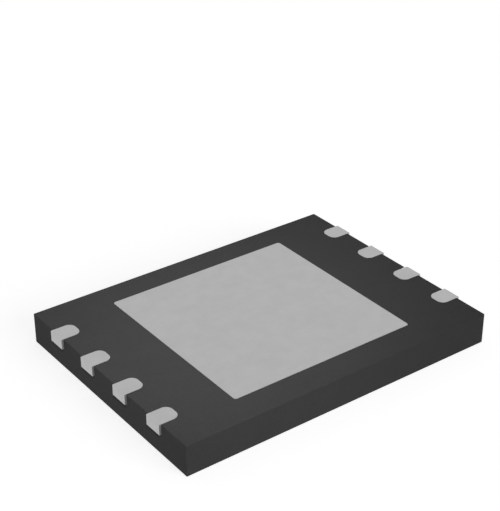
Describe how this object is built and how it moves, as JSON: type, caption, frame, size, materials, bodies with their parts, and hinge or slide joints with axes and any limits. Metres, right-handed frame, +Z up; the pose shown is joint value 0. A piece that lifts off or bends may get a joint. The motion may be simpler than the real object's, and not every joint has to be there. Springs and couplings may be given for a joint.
{
  "type": "flash memory chip",
  "caption": "Thin leadless surface-mount memory chip: a dark moulded block with a large exposed pad and solder lands along its two short sides.",
  "frame": {"origin": "middle of the plain moulded face, which the chip lies on", "axes": "+Z up through the body to the solder lands, +X along the body's length, from leads 1 to 4 towards leads 5 to 8, +Y along its width"},
  "size_m": [0.0082, 0.006, 0.0008],
  "materials": {
    "mold_compound": "matte",
    "tin_plate": "matte",
    "die_adhesive": "matte",
    "silicon": "polished",
    "gold": "polished"
  },
  "bodies": {
    "root": {"mold_body": "mold_compound", "exposed_pad": "tin_plate", "lead_1": "tin_plate", "lead_2": "tin_plate", "lead_3": "tin_plate", "lead_4": "tin_plate", "lead_5": "tin_plate", "lead_6": "tin_plate", "lead_7": "tin_plate", "lead_8": "tin_plate", "die_attach": "die_adhesive", "flash_die": "silicon", "bond_wire_1": "gold", "bond_wire_2": "gold", "bond_wire_3": "gold", "bond_wire_4": "gold", "bond_wire_5": "gold", "bond_wire_6": "gold", "bond_wire_7": "gold", "bond_wire_8": "gold"}
  },
  "joints": []
}
